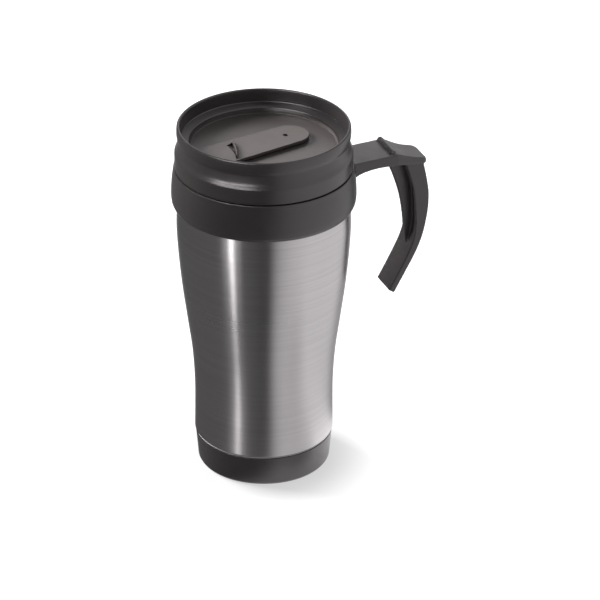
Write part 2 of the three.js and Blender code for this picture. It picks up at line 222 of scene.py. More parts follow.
def plate(outline, z_low, z_high):
    """An outline in the X-Y plane between two heights."""
    return loft([[(x, y, z) for x, y in outline] for z in (z_low, z_high)])


def grown(point, centre, distance):
    """The point moved away from the centre."""
    away = np.array(point) - centre
    return tuple(np.array(point) + away / np.linalg.norm(away) * distance)


def flared(outline, z_low, z_high, radius):
    """A cutter that leaves a rounded rim, where it leaves the solid at z_high."""
    centre = np.mean(outline, axis=0)
    sections = [[(x, y, z_low) for x, y in outline]]
    for t in np.radians(np.linspace(0, 90, FILLET_STEPS + 1)):
        grow = radius * (1 - math.cos(t))
        height = z_high - radius + radius * math.sin(t)
        sections.append([(*grown(point, centre, grow), height) for point in outline])
    sections.append([(*grown(point, centre, radius), z_high + OVERCUT) for point in outline])
    return loft(sections)


def capsule(x, z, reach, radius, steps=10, sides=32, pole=88):
    """A rod along Y with round ends about Y = -reach and Y = reach. The ends are cut off flat
    just short of their poles, at an angle in degrees."""
    angles = [2 * math.pi * i / sides for i in range(sides)]
    rings = []
    for middle, first, last in ((-reach, -pole, 0), (reach, 0, pole)):
        for t in np.radians(np.linspace(first, last, steps)):
            y = middle + radius * math.sin(t)
            r = radius * math.cos(t)
            rings.append([(x + r * math.cos(a), y, z + r * math.sin(a)) for a in angles])
    return loft(rings)


# ---------------------------------------------------------------- mesh work

def to_object(name, *meshes):
    """One object from one or more meshes, still in millimetres."""
    whole = bpy.data.meshes.new(name)
    joined = bmesh.new()
    for mesh in meshes:
        part = bpy.data.meshes.new("part")
        mesh.to_mesh(part)
        mesh.free()
        joined.from_mesh(part)
        bpy.data.meshes.remove(part)
    joined.to_mesh(whole)
    joined.free()
    obj = bpy.data.objects.new(name, whole)
    bpy.context.scene.collection.objects.link(obj)
    return obj


def apply_modifiers(obj):
    """Gives the object the mesh that its modifiers make."""
    depsgraph = bpy.context.evaluated_depsgraph_get()
    result = bpy.data.meshes.new_from_object(obj.evaluated_get(depsgraph))
    obj.modifiers.clear()
    old = obj.data
    obj.data = result
    bpy.data.meshes.remove(old)


def cut(obj, mesh):
    """Takes a closed mesh out of the object."""
    tool = to_object("tool", mesh)
    modifier = obj.modifiers.new("cut", "BOOLEAN")
    modifier.object = tool
    modifier.operation = "DIFFERENCE"
    modifier.solver = "EXACT"
    apply_modifiers(obj)
    bpy.data.objects.remove(tool)


def mould(obj, voxel, smoothing):
    """Fuses overlapping solids into one skin and rounds its edges as a moulding's are."""
    remesh = obj.modifiers.new("fuse", "REMESH")
    remesh.mode = "VOXEL"
    remesh.voxel_size = voxel
    soften = obj.modifiers.new("soften", "SMOOTH")
    soften.factor = 0.5
    soften.iterations = smoothing
    apply_modifiers(obj)


def finish_surface(obj, sharp_angle=40, weighted=True):
    """Scales the object to metres and shades it smooth, apart from its sharp edges."""
    obj.data.transform(Matrix.Scale(MM, 4))
    obj.data.shade_smooth()
    if weighted:
        obj.data.set_sharp_from_angle(angle=math.radians(sharp_angle))
        normals = obj.modifiers.new("normals", "WEIGHTED_NORMAL")
        normals.keep_sharp = True
        apply_modifiers(obj)
    return obj


def turned(name, profile):
    """A round piece from its profile and the profile's fillets."""
    return finish_surface(to_object(name, lathe(rounded(profile))))


def turn_with_lid(obj):
    """Turns a piece from +X to the direction that the slider moves in."""
    obj.data.transform(Matrix.Rotation(LID_TURN, 4, "Z"))


# ---------------------------------------------------------------- body pieces

WALL_STEEL = 0.5
WALL_LINER = 1.5
LINER_SHOULDER_Z = 139.5

SHELL_SIDE = [
    (32.6, shell_low.z),
    (32.45, 28),
    (32.5, 42),
    (33.5, 58),
    (35.7, 75),
    (37.9, 92),
    (39.42, 108),
    (40.19, 122),
    (39.9, 131.5),
    (39.45, shell_high.z),
]
LINER_SIDE = [
    (28.6, 9.5),
    (29.2, 42),
    (31.3, 64),
    (34.2, 88),
    (36.6, 120),
    (37, LINER_SHOULDER_Z - 1),
]


def outer_shell(name):
    """The waisted sleeve, with its two edges rounded."""
    edge = WALL_STEEL * 0.45
    outside = spline(SHELL_SIDE, 10)
    inside = [(radius - WALL_STEEL, height) for radius, height in reversed(outside)]
    profile = []
    for first, *middle, last in (outside, inside):
        profile += [(*first, edge), *middle, (*last, edge)]
    return turned(name, profile)


def inner_liner(name):
    """The cup that holds the drink, with a foot ring and a wider neck that takes the lid."""
    low, high = measure("inner_liner")
    floor_z, foot_inner, foot_outer, neck_bore = 7.5, 17, 19, 37.1
    shoulder_top_z = LINER_SHOULDER_Z + WALL_LINER
    wall = spline(LINER_SIDE, 8)
    inside = [(radius - WALL_LINER, height) for radius, height in reversed(wall)]
    return turned(
        name,
        [
            (0, floor_z),
            (foot_inner, floor_z, 0.3),
            (foot_inner, low.z, 0.4),
            (foot_outer, low.z, 0.4),
            (foot_outer, floor_z, 0.3),
            (27, floor_z, 1.2),
            *wall,
            (37.2, LINER_SHOULDER_Z, 0.3),
            (high.x, LINER_SHOULDER_Z, 0.3),
            (high.x, high.z, 0.5),
            (neck_bore, high.z, 0.8),
            (neck_bore, shoulder_top_z, 0.5),
            (35.5, shoulder_top_z, 0.6),
            *inside[:-1],
            (27.1, floor_z + WALL_LINER, 2.5),
            (0, floor_z + WALL_LINER),
        ],
    )


def base_cap(name):
    """The foot, with a recess for its pad below and a spigot inside the sleeve above."""
    low, high = measure("base_cap")
    recess_z = pad_high.z + GAP
    recess_radius = pad_high.x + GAP
    shoulder_z, floor_top_z = 15.1, 4.2
    spigot_radius, spigot_bore = 31.3, 29.7
    return turned(
        name,
        [
            (0, recess_z),
            (recess_radius, recess_z, 0.3),
            (recess_radius, low.z, 0.3),
            (30.55, low.z, 0.35),
            (31.1, 1.5, 0.5),
            (31.5, 6.6, 4),
            (31.9, 11, 4),
            (high.x, shoulder_z, 0.25),
            (spigot_radius, shoulder_z, 0.15),
            (spigot_radius, high.z, 0.4),
            (spigot_bore, high.z, 0.4),
            (spigot_bore, floor_top_z, 1),
            (0, floor_top_z),
        ],
    )


def base_pad(name):
    """Non-slip pad with fine rings pressed into its underside."""
    rings, pitch, depth = 5, 4.2, 0.35
    half_mouth, half_bottom, edge = 0.5, 0.3, 0.1
    underside = [(0, pad_low.z)]
    for i in range(1, rings + 1):
        centre = i * pitch
        underside += [
            (centre - half_mouth, pad_low.z, edge),
            (centre - half_bottom, pad_low.z + depth, edge),
            (centre + half_bottom, pad_low.z + depth, edge),
            (centre + half_mouth, pad_low.z, edge),
        ]
    rim = [(pad_high.x, pad_low.z, 0.5), (pad_high.x, pad_high.z, 0.3)]
    return turned(name, [*underside, *rim, (0, pad_high.z)])


SEAL_BORE = {"shell_top_seal": 38.6, "shell_bottom_seal": 31.7}


def seal_ring(name):
    """A seal for either end of the sleeve, with its four edges rounded."""
    node = name.removesuffix("_fine")
    low, high = measure(node)
    inner = SEAL_BORE[node]
    edge = min(high.x - inner, high.z - low.z) * 0.3
    return turned(name, rectangle(inner, high.x, low.z, high.z, edge))


COLLAR_BARREL = [
    (42.45, 137.3),
    (COLLAR_RADIUS, 139),
    (42.35, 143),
    (42.0, 147),
    (41.55, 150),
]


def collar_profile(grow=0.0):
    """The collar's outside, from its curled foot over the barrel to its lip."""
    return [
        (40.5 + grow, collar_low.z, 0.25),
        (41.5 + grow, collar_low.z + 0.45, 0.8),
        (42.25 + grow, collar_low.z + 2.1, 1.2),
        *[(radius + grow, height) for radius, height in spline(COLLAR_BARREL, 6)],
        (41.42 + grow, SEAM_Z - 0.6, 0.5),
        (41.25 + grow, SEAM_Z, 0.35),
    ]


COLLAR_BORE = 39.2
SCREW_Y = 4.8
SCREW_Z = 147.0
SCREW_HEAD_X = COLLAR_BORE + GAP
SCREW_TIP_X = 48.5
SCREW_RADIUS = 1.1
SCREW_HEAD_RADIUS = 2.3
SCREW_HEAD_LENGTH = 1.3
SCREW_HOLE_SIDES = 32


def around_screw(side, x, radii):
    """Points around a screw's axis at x, one for each radius. The side is -1 or 1."""
    ring = []
    for i, radius in enumerate(radii):
        angle = 2 * math.pi * i / len(radii)
        y = side * SCREW_Y + radius * math.cos(angle)
        ring.append((x, y, SCREW_Z + radius * math.sin(angle)))
    return ring


def cut_screw_holes(obj):
    """Makes room for both screws: a head along +X, then a shank."""
    shank_x = SCREW_HEAD_X + SCREW_HEAD_LENGTH + GAP
    steps = [
        (COLLAR_BORE - OVERCUT, SCREW_HEAD_RADIUS + GAP),
        (shank_x, SCREW_HEAD_RADIUS + GAP),
        (shank_x, SCREW_RADIUS + GAP),
        (SCREW_TIP_X + GAP, SCREW_RADIUS + GAP),
    ]
    for side in (-1, 1):
        cut(obj, loft([around_screw(side, x, [radius] * SCREW_HOLE_SIDES) for x, radius in steps]))


def collar_ring(name):
    """The ring round the liner's neck, with a wider bore over the sleeve's top."""
    step_z, skirt_bore = 139.1, 40.15
    profile = [
        *collar_profile(),
        (COLLAR_BORE, SEAM_Z, 0.3),
        (COLLAR_BORE, step_z, 0.2),
        (skirt_bore, step_z, 0.2),
        (skirt_bore, collar_low.z, 0.2),
    ]
    obj = to_object(name, lathe(rounded(profile)))
    cut_screw_holes(obj)
    return finish_surface(obj)


# ---------------------------------------------------------------- handle

ARM_ROOT_X = 38.0
ARM_HALF_WIDTH = 9.6
THUMB_REST_X = 60.5
GRIP_HALF_WIDTH = 7.2
GRIP_WALL = 2.0
GRIP_RIB = 2.4
GRIP_RIB_FOOT_Z = 95.0
POCKET = {"foot_z": 97.0, "full_z": 127.0, "depth": 1.3}

# The arm keeps its width to the start of a slight taper, and has round corners at its tip.
# Its upper edges are rounder over the thumb rest.
ARM_TIP = {"x": 78.4, "half_width": 8.2, "corner": 3.0, "taper_from": 63.0}
ARM_UPPER_EDGE = {"x": (61, 66, 76), "radius": (0.35, 1.6, 2.2)}
ARM_LOWER_EDGE = 0.5

ARM_TOP = [
    (ARM_ROOT_X, 149.2),
    (THUMB_REST_X, 150.2),
    (62, 150.5),
    (64.3, 149.6),
    (68, 147.9),
    (71.7, 146.5),
    (76.3, 145.4),
    (78.6, 144.5),
]
ARM_UNDERSIDE = [
    (ARM_ROOT_X, 139.9),
    (42, 142.4),
    (45.4, 143.8),
    (51.1, 144.8),
    (58.3, 144.9),
    (64.5, 144.4),
    (70, 143.4),
    (78.6, 142.55),
]

GRIP_OUTER_EDGE = [
    (76.4, 144),
    (78.4, 135),
    (79.7, 126.5),
    (79.5, 119),
    (78.4, 111.5),
    (76.6, 104),
    (73.4, 96.2),
    (69.4, 88.7),
    (62.9, 77),
]
GRIP_WALL_EDGE = [
    (67.5, 144),
    (70.9, 133),
    (72.1, 127),
    (72.9, 119),
    (73.2, 111.5),
    (72.6, 105.2),
    (70.9, 99.5),
    (67.4, 92.1),
    (62.5, 82.9),
    (60.2, 78.8),
]
GRIP_RIB_EDGE = [
    (61.4, 144),
    (62.4, 140),
    (64.4, 135),
    (67.2, 126.3),
    (68.7, 119.1),
    (69.5, 113.2),
    (70.2, 105.7),
    (70.8, 99.5),
    (71.8, 96),
]
THUMB_BAR = {"x": 60.9, "z": 150.6, "radius": 1.5, "half_width": 9.2}


def at(points, x):
    """The height of a chain of points at x."""
    xs, zs = zip(*points)
    return float(np.interp(x, xs, zs))


def arm_half_width(x):
    """Half the arm's width at x, with the taper and the round corners at its tip."""
    corner = ARM_TIP["corner"]
    corner_x = ARM_TIP["x"] - corner
    narrowing = ARM_HALF_WIDTH - ARM_TIP["half_width"]
    taper = np.interp(x, [ARM_TIP["taper_from"], corner_x], [0, narrowing])
    into_corner = np.clip((x - corner_x) / corner, 0, 1)
    return ARM_HALF_WIDTH - taper - corner * (1 - math.sqrt(1 - into_corner**2))


def arm_section(x, top, underside):
    """A rectangle across the arm with its corners rounded."""
    half_width = arm_half_width(x)
    z_high, z_low = at(top, x), at(underside, x)
    thickness = z_high - z_low
    wanted = np.interp(x, ARM_UPPER_EDGE["x"], ARM_UPPER_EDGE["radius"])
    upper = min(wanted, thickness * 0.48)
    lower = min(ARM_LOWER_EDGE, thickness * 0.3)
    corners = (
        (half_width - upper, z_high - upper, upper),
        (-half_width + upper, z_high - upper, upper),
        (-half_width + lower, z_low + lower, lower),
        (half_width - lower, z_low + lower, lower),
    )
    outline = []
    for quarter, (y, z, radius) in enumerate(corners):
        outline += arc((y, z), radius, 90 * quarter, 90 * quarter + 90, 6)
    return [(x, y, z) for y, z in outline]


def arm():
    """Sections along X, closer over the thumb rest and round the tip's corners."""
    top = spline(ARM_TOP, 8)
    underside = spline(ARM_UNDERSIDE, 8)
    corner = ARM_TIP["corner"]
    corner_x = ARM_TIP["x"] - corner
    places = [*np.linspace(ARM_ROOT_X, THUMB_REST_X - 0.5, 24)]
    places += [*np.linspace(THUMB_REST_X, corner_x, 40)]
    places += [corner_x + corner * math.sin(t) for t in np.radians(np.linspace(4, 88, 12))]
    return loft([arm_section(x, top, underside) for x in places])


def side_step(curve, distances):
    """The curve's points moved sideways in its plane, each by its own distance."""
    p = np.array(curve)
    along = np.gradient(p, axis=0)
    along /= np.linalg.norm(along, axis=1)[:, None]
    sideways = np.column_stack([along[:, 1], -along[:, 0]])
    return [tuple(point) for point in p + distances[:, None] * sideways]


def grip():
    """Outer band, two side walls and a middle rib, between pockets that run out downwards."""
    outer = spline(GRIP_OUTER_EDGE, 8)
    wall_edge = spline(GRIP_WALL_EDGE, 8)
    rib_edge = spline(GRIP_RIB_EDGE, 6)
    heights = [z for _, z in wall_edge]
    depths = np.interp(heights, [POCKET["foot_z"], POCKET["full_z"]], [0, POCKET["depth"]])
    pocket_floor = side_step(wall_edge, -depths)
    wall_inner = GRIP_HALF_WIDTH - GRIP_WALL
    above_rib_foot = [point for point in outer if point[1] > GRIP_RIB_FOOT_Z]
    side = outer + wall_edge[::-1]
    return [
        slab(outer + pocket_floor[::-1], -GRIP_HALF_WIDTH, GRIP_HALF_WIDTH),
        slab(side, -GRIP_HALF_WIDTH, -wall_inner),
        slab(side, wall_inner, GRIP_HALF_WIDTH),
        slab(above_rib_foot + rib_edge[::-1], -GRIP_RIB / 2, GRIP_RIB / 2),
    ]


def handle(name):
    """Arm, thumb bar and grip fused in one, then cut to fit the collar and the screws."""
    bar_reach = THUMB_BAR["half_width"] - THUMB_BAR["radius"]
    bar = capsule(THUMB_BAR["x"], THUMB_BAR["z"], bar_reach, THUMB_BAR["radius"])
    obj = to_object(name, arm(), bar, *grip())
    mould(obj, voxel=0.3, smoothing=4)
    past = 2 * OVERCUT
    room = [(0, collar_low.z - past), *rounded(collar_profile(GAP))[1:], (0, SEAM_Z + past)]
    cut(obj, lathe(room))
    cut_screw_holes(obj)
    return finish_surface(obj, weighted=False)


SCREW_HEAD = [
    (0, 1.9),
    (0.12, 2.15),
    (0.35, SCREW_HEAD_RADIUS),
    (0.9, SCREW_HEAD_RADIUS),
    (SCREW_HEAD_LENGTH, 1.0),
]
THREAD = {"pitch": 0.8, "depth": 0.22, "point_length": 1.6, "point_radius": 0.08}
CROSS = {"half_length": 1.5, "half_width": 0.28, "depth": 0.8}


def thread_radius(x, share_of_turn):
    """The shank's radius, with a crest that winds around it and a taper to its blunt point."""
    phase = (x / THREAD["pitch"] - share_of_turn) % 1
    crest = max(0, 1 - abs(phase - 0.5) * 4)
    radius = SCREW_RADIUS - THREAD["depth"] + THREAD["depth"] * crest
    taper = min(1, (SCREW_TIP_X - x) / THREAD["point_length"])
    return max(THREAD["point_radius"], radius * taper**0.7)


def handle_screw(name):
    """Self-tapping screw with a flat head, a cross recess and a coarse thread."""
    side = -1 if name.startswith("handle_screw_1") else 1
    sides, rows_per_turn = 48, 12
    row_step = THREAD["pitch"] / rows_per_turn
    shank_x = SCREW_HEAD_X + SCREW_HEAD_LENGTH
    rings = [around_screw(side, SCREW_HEAD_X + x, [radius] * sides) for x, radius in SCREW_HEAD]
    for row in range(1, int((SCREW_TIP_X - shank_x) / row_step) + 1):
        x = shank_x + row * row_step
        rings.append(around_screw(side, x, [thread_radius(x, i / sides) for i in range(sides)]))
    obj = to_object(name, loft(rings))
    y, z = side * SCREW_Y, SCREW_Z
    half_sizes = (CROSS["half_length"], CROSS["half_width"])
    for half_y, half_z in (half_sizes, half_sizes[::-1]):
        outline = rectangle(y - half_y, y + half_y, z - half_z, z + half_z)
        cut(obj, block(outline, SCREW_HEAD_X - OVERCUT, SCREW_HEAD_X + CROSS["depth"]))
    return finish_surface(obj, sharp_angle=30)


# ---------------------------------------------------------------- lid pieces

LID_FOOT_Z = SEAM_Z + GAP
DECK_Z = 162.2
DECK_THICKNESS = 2.0
RECESS_RADIUS = 33.4
PLUG_RADIUS = 35.6
PLUG_BORE = 32.8
GASKET_GROOVE_RADIUS = 34.2
NECK_WIDTH = 4.0
NECK_LENGTH = 8.0
NECK_X = -10.0
VENT_RADIUS = 1.2
SLIDER_VENT_X = 11.9
DRINK_HOLE = {"x": -27.6, "width": 6.0, "length": 12.0}

LID_SIDE = [
    (40.8, LID_FOOT_Z + 0.6),
    (40.8, 154.5),
    (40.8, 158.8),
    (40.72, 159.6),
    (40.42, 160.4),
    (40.07, 161.2),
    (39.8, 162.0),
    (39.58, 163.0),
    (39.3, 164.6),
    (39.15, 165.8),
    (39.25, 166.5),
    (39.55, 167.2),
    (39.74, 168.2),
    (39.8, 169.4),
    (39.76, 170.8),
]


def lid_body(name):
    """Plug, skirt, rim and sunk deck, with openings to drink from, to slide in and to vent."""
    gasket_low, gasket_high = measure("lid_gasket")
    deck_underside = DECK_Z - DECK_THICKNESS
    shelf_z, skirt_bore, lip_z = 163, 38.3, 172.1
    profile = [
        (0, deck_underside),
        (PLUG_BORE, deck_underside, 0.8),
        (PLUG_BORE, lid_low.z, 0.4),
        (PLUG_RADIUS, lid_low.z, 0.8),
        (PLUG_RADIUS, gasket_low.z - GAP, 0.2),
        (GASKET_GROOVE_RADIUS, gasket_low.z - GAP, 0.2),
        (GASKET_GROOVE_RADIUS, gasket_high.z + GAP, 0.2),
        (PLUG_RADIUS, gasket_high.z + GAP, 0.2),
        (PLUG_RADIUS, shelf_z, 0.5),
        (skirt_bore, shelf_z, 0.5),
        (skirt_bore, LID_FOOT_Z, 0.3),
        (40.6, LID_FOOT_Z, 0.25),
        *spline(LID_SIDE, 6),
        (39.6, lip_z, 0.5),
        (38.8, RIM_Z + 0.02, 0.6),
        (38.15, lip_z, 0.5),
        (38.0, 171, 0.4),
        (37.8, 166.1, 0.45),
        (34.0, 164.8, 0.5),
        (RECESS_RADIUS, DECK_Z, 0.5),
        (0, DECK_Z),
    ]
    obj = to_object(name, lathe(rounded(profile)))
    slot_length = NECK_LENGTH + SLIDER_TRAVEL + 2 * GAP
    slot_centre = NECK_X - NECK_LENGTH / 2 - GAP + slot_length / 2
    drink = slot_outline((0, 0), DRINK_HOLE["length"], DRINK_HOLE["width"])
    openings = [
        [(DRINK_HOLE["x"] - y, x) for x, y in drink],
        slot_outline((slot_centre, 0), slot_length, NECK_WIDTH + 2 * GAP),
        circle((SLIDER_VENT_X + SLIDER_TRAVEL, 0), VENT_RADIUS),
    ]
    for outline in openings:
        cut(obj, flared(outline, deck_underside - OVERCUT, DECK_Z, radius=0.35))
    turn_with_lid(obj)
    return finish_surface(obj)


def lid_gasket(name):
    """A band in the plug's groove, with two fins that press on the liner's neck."""
    low, high = measure("lid_gasket")
    back, body, fin = GASKET_GROOVE_RADIUS + GAP, 35.8, 36.8
    rise, thickness = 0.7, 1.6
    return turned(
        name,
        [
            (back, low.z, 0.2),
            (body, low.z, 0.2),
            (fin, low.z + rise, 0.15),
            (body, low.z + thickness, 0.3),
            (body, high.z - thickness, 0.3),
            (fin, high.z - thickness + rise, 0.15),
            (body, high.z, 0.2),
            (back, high.z, 0.2),
        ],
    )


SLIDER_TOP_Z = DECK_Z + 2
SLIDER_THICKNESS = 1.5
SLIDER_HALF_WIDTH = 9.9
SLIDER_END_RADIUS = 8.9
SLIDER_END_X = 23.0
SEAL_PAD = {"x": (-31.2, -23.8), "half_width": 7.2, "corner": 1.0}
CLIP = {"length": 14, "width": 10}

# The thumb ridge is an arc that slants across the plate. It leans over a crescent hollow on
# the drink side, whose floor slopes down towards it, and it is steep on the other. The slope
# takes up a share of the hollow's width. Ends are angles in degrees about the centres.
RIDGE = {
    "centre": (-47.4, 14.25),
    "ends": (-38.8, -12.5),
    "inner": 35.3,
    "outer": 36.5,
    "crest": (34.9, 35.35),
}
HOLLOW = {
    "centre": (-45.1, 6.05),
    "ends": (-29.5, -1),
    "ends_at_ridge": (-39.5, -12),
    "radius": 28.6,
    "depth": 1.3,
    "slope": 0.7,
}


def hollow(steps=24):
    """A cutter for the hollow, which reaches just under the ridge and above the plate."""
    under_ridge, above_plate = 0.1, 0.6
    ridge_side = RIDGE["inner"] + under_ridge
    near_ridge = arc(RIDGE["centre"], ridge_side, *HOLLOW["ends_at_ridge"], steps)
    far_edge = arc(HOLLOW["centre"], HOLLOW["radius"], *HOLLOW["ends"], steps)
    slope = HOLLOW["slope"]
    floor_edge = [tuple(a + slope * (np.array(b) - a)) for a, b in zip(far_edge, near_ridge)]
    rim = near_ridge + far_edge[::-1]
    sections = [
        (rim, SLIDER_TOP_Z + above_plate),
        (rim, SLIDER_TOP_Z),
        (near_ridge + floor_edge[::-1], SLIDER_TOP_Z - HOLLOW["depth"]),
    ]
    return loft([[(x, y, z) for x, y in outline] for outline, z in sections])


def thumb_ridge(steps=32):
    """The ridge, a little too high, because the moulding's smoothing lowers its crest."""
    smoothed_away = 0.1
    foot = (RIDGE["inner"], RIDGE["outer"], SLIDER_TOP_Z - OVERLAP)
    crest = (*RIDGE["crest"], slider_high.z + smoothed_away)
    sections = []
    for inner, outer, z in (foot, crest):
        outline = arc(RIDGE["centre"], outer, *RIDGE["ends"], steps)
        outline += arc(RIDGE["centre"], inner, *reversed(RIDGE["ends"]), steps)
        sections.append([(x, y, z) for x, y in outline])
    return loft(sections)


def seal_outline(margin, *radius):
    """The silicone pad's rectangle with a margin around it."""
    x_low, x_high = SEAL_PAD["x"]
    half_width = SEAL_PAD["half_width"] + margin
    return rectangle(x_low - margin, x_high + margin, -half_width, half_width, *radius)


def slider(name):
    """The plate with its thumb ridge, and a neck that goes through the deck's slot."""
    underside = SLIDER_TOP_Z - SLIDER_THICKNESS
    wall_clearance = 0.5
    drink_radius = RECESS_RADIUS - wall_clearance
    spread = math.degrees(math.asin(SLIDER_HALF_WIDTH / drink_radius))
    outline = arc((SLIDER_END_X - SLIDER_END_RADIUS, 0), SLIDER_END_RADIUS, -90, 90, 48)
    outline += arc((0, 0), drink_radius, 180 - spread, 180 + spread, 24)
    neck = slot_outline((NECK_X, 0), NECK_LENGTH, NECK_WIDTH)
    obj = to_object(
        name,
        plate(outline, underside, SLIDER_TOP_Z),
        thumb_ridge(),
        plate(neck, slider_low.z, underside + OVERLAP),
    )
    mould(obj, voxel=0.2, smoothing=3)
    cut(obj, hollow())
    _, seal_high = measure("slider_seal")
    cut(obj, plate(seal_outline(GAP), underside - OVERCUT, seal_high.z + GAP))
    vent = circle((SLIDER_VENT_X, 0), VENT_RADIUS)
    cut(obj, flared(vent, underside - OVERCUT, SLIDER_TOP_Z, radius=0.2))
    turn_with_lid(obj)
    return finish_surface(obj, sharp_angle=50)


def slider_seal(name):
    """The soft pad that closes the drink hole."""
    low, high = measure("slider_seal")
    outline = rounded(seal_outline(0, SEAL_PAD["corner"]))
    obj = to_object(name, plate(outline, low.z, high.z))
    mould(obj, voxel=0.15, smoothing=3)
    turn_with_lid(obj)
    return finish_surface(obj, weighted=False)


def slider_clip(name):
    """A plate with an eye, which holds the neck from below the deck."""
    low, high = measure("slider_clip")
    outline = slot_outline((NECK_X, 0), CLIP["length"], CLIP["width"], steps=24)
    obj = to_object(name, plate(outline, low.z, high.z))
    eye = slot_outline((NECK_X, 0), NECK_LENGTH + 2 * GAP, NECK_WIDTH + 2 * GAP)
    cut(obj, plate(eye, low.z - OVERCUT, high.z + OVERCUT))
    mould(obj, voxel=0.15, smoothing=4)
    turn_with_lid(obj)
    return finish_surface(obj, weighted=False)


# ---------------------------------------------------------------- materials

NOISE_SPAN = (0.3, 0.7)  # nearly all of a noise texture's values lie in it
MIX_FACTOR, MIX_ONE, MIX_OTHER, MIX_RESULT = 0, 6, 7, 2  # a mix node's colour sockets


class Tree:
    """A node tree with short calls for the nodes that fill it."""

    def __init__(self, tree):
        self.nodes = tree.nodes
        self.links = tree.links

    def node(self, kind, **settings):
        node = self.nodes.new(f"ShaderNode{kind}")
        for key, value in settings.items():
            setattr(node, key, value)
        return node

    def feed(self, inputs, **values):
        """Links or sets inputs by name, with _ for a space."""
        for name, value in values.items():
            self.put(inputs[name.replace("_", " ")], value)

    def put(self, target, value):
        """Links another node's output to an input, or gives it a plain value."""
        if isinstance(value, bpy.types.NodeSocket):
            self.links.new(value, target)
        else:
            target.default_value = value

    def maths(self, operation, *values, kind="Math"):
        step = self.node(kind, operation=operation)
        for target, value in zip(step.inputs, values):
            self.put(target, value)
        return step.outputs["Value"]

    def ramp(self, value, span, levels, shape="LINEAR"):
        """Runs from one level to the other while the value crosses the span."""
        ramp = self.node("MapRange", interpolation_type=shape)
        self.feed(ramp.inputs, Value=value, From_Min=span[0], From_Max=span[1])
        self.feed(ramp.inputs, To_Min=levels[0], To_Max=levels[1])
        return ramp.outputs["Result"]

    def mix_colours(self, factor, one, other):
        mix = self.node("Mix", data_type="RGBA")
        for socket, value in ((MIX_FACTOR, factor), (MIX_ONE, one), (MIX_OTHER, other)):
            self.put(mix.inputs[socket], value)
        return mix.outputs[MIX_RESULT]

    def mix_shaders(self, factor, one, other):
        mix = self.node("MixShader")
        for target, value in zip(mix.inputs, (factor, one, other)):
            self.put(target, value)
        return mix.outputs["Shader"]


class Look(Tree):
    """A Principled material and the nodes that feed it."""

    def __init__(self, name, **constants):
        self.material = bpy.data.materials.new(name)
        self.material.use_nodes = True
        super().__init__(self.material.node_tree)
        self.sockets = self.nodes["Principled BSDF"].inputs
        self.feed(self.sockets, **constants)
        self.place = self.node("TexCoord").outputs["Object"]

    def stretched(self, scale):
        mapping = self.node("Mapping", vector_type="POINT")
        self.feed(mapping.inputs, Vector=self.place, Scale=scale)
        return mapping.outputs["Vector"]

    def noise(self, scale, detail=3.0, roughness=0.5, stretch=(1, 1, 1)):
        """Noise with about this many spots to the metre, before the stretch."""
        texture = self.node("TexNoise")
        self.feed(texture.inputs, Scale=scale, Detail=detail, Roughness=roughness)
        self.feed(texture.inputs, Vector=self.stretched(stretch))
        return texture.outputs["Fac"]

    def colour(self, noise, low, high):
        share = self.ramp(noise, NOISE_SPAN, (0, 1))
        self.feed(self.sockets, Base_Color=self.mix_colours(share, (*low, 1), (*high, 1)))

    def dull_centre(self, radius, colour, gloss):
        """Another colour and gloss within a radius of the Z axis."""
        from_axis = self.maths("LENGTH", self.stretched((1, 1, 0)), kind="VectorMath")
        inside = self.maths("LESS_THAN", from_axis, radius)
        outer_colour = self.sockets["Base Color"].links[0].from_socket
        outer_gloss = self.sockets["Specular IOR Level"].default_value
        level = self.ramp(inside, (0, 1), (outer_gloss, gloss))
        both = self.mix_colours(inside, outer_colour, (*colour, 1))
        self.feed(self.sockets, Base_Color=both, Specular_IOR_Level=level)

    def roughness(self, noise, levels, by_height=None):
        """Roughness by a noise, with more added from one height to another: each is
        a (height in metres, amount)."""
        value = self.ramp(noise, NOISE_SPAN, levels)
        if by_height:
            heights, amounts = zip(*by_height)
            split = self.node("SeparateXYZ")
            self.feed(split.inputs, Vector=self.place)
            value = self.maths("ADD", value, self.ramp(split.outputs["Z"], heights, amounts))
        self.feed(self.sockets, Roughness=value)

    def bump(self, *layers):
        """Stacks bumps, each a (height, distance in metres, strength)."""
        target = self.sockets["Normal"]
        for height, distance, strength in reversed(layers):
            bump = self.node("Bump")
            self.feed(bump.inputs, Height=height, Distance=distance, Strength=strength)
            self.put(target, bump.outputs["Normal"])
            target = bump.inputs["Normal"]


def brushed_steel():
    """Steel brushed around the mug, rougher towards its foot."""
    look = Look("brushed_steel", Metallic=1.0, Anisotropic=0.84, Anisotropic_Rotation=0.25)
    fine = look.noise(140, detail=1, stretch=(0.12, 0.12, 8))
    broad = look.noise(60, detail=2, stretch=(0.2, 0.2, 6))
    look.colour(fine, (0.603, 0.576, 0.584), (0.647, 0.617, 0.626))
    look.roughness(broad, (0.25, 0.27), by_height=((0.02, 0.12), (0.10, 0.0)))
    look.bump((fine, 0.00001, 0.08))
    tangent = look.node("Tangent", direction_type="RADIAL", axis="Z")
    look.feed(look.sockets, Tangent=tangent.outputs["Tangent"])
    return look.material


def moulded_plastic(name, colours, roughness, grain, gloss=1.0, dull_radius=None):
    """Satin plastic: fine moulded grain, slow colour and gloss variation. It can have
    a dull, paler texture within a radius of the mug's axis, as a lid's deck has."""
    look = Look(name, Specular_IOR_Level=gloss, Specular_Tint=(1.0, 0.94, 0.955, 1))
    look.colour(look.noise(45, detail=4), *colours)
    if dull_radius:
        look.dull_centre(dull_radius, colour=(0.062, 0.0545, 0.053), gloss=0.35)
    look.roughness(look.noise(160, detail=5, roughness=0.6), roughness)
    fine = (look.noise(3200, detail=2), 0.00002, grain)
    broad = (look.noise(260, detail=2), 0.00003, grain * 0.5)
    look.bump(fine, broad)
    return look.material


